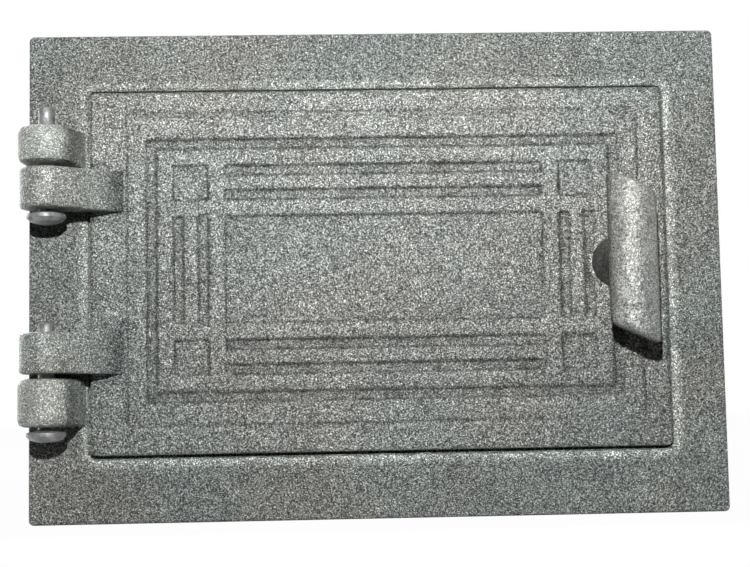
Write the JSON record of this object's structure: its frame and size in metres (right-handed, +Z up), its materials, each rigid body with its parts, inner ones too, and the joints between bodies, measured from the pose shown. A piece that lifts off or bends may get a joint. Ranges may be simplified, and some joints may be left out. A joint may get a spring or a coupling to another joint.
{
  "type": "ash pit door",
  "caption": "Cast-iron ash pit door: a flanged wall frame, a hinged leaf with stepped panel relief, and a turning grip handle that carries a latch tongue.",
  "frame": {"origin": "centre of the flange on its back face, in the middle of the wall opening that the collar fills", "axes": "+X to the free side of the leaf, +Z up, -Y out of the wall towards the viewer"},
  "size_m": [0.2716, 0.061, 0.19],
  "materials": {
    "frame_iron": "rough as cast, graphite grey",
    "leaf_iron": "rough as cast, graphite grey",
    "handle_iron": "rough as cast, worn bright on the crown",
    "latch_iron": "rough as cast, graphite grey",
    "pin_steel": "dull drawn steel",
    "latch_steel": "dull plain steel"
  },
  "bodies": {
    "frame": {"frame": "frame_iron", "upper_hinge_pin": "pin_steel", "lower_hinge_pin": "pin_steel"},
    "door": {"door_leaf": "leaf_iron"},
    "latch": {"handle": "handle_iron", "latch_tongue": "latch_iron", "latch_washer": "latch_steel", "latch_nut": "latch_steel"}
  },
  "joints": [
    {"name": "door_swing", "type": "hinge", "parent": "frame", "child": "door", "pos_m": [-0.126, -0.0173, 0], "axis": [0, 0, -1], "range_deg": [0, 175]},
    {"name": "handle_turn", "type": "hinge", "parent": "door", "child": "latch", "pos_m": [0.0935, 0, 0.0026], "axis": [0, -1, 0], "range_deg": [0, 90]}
  ]
}
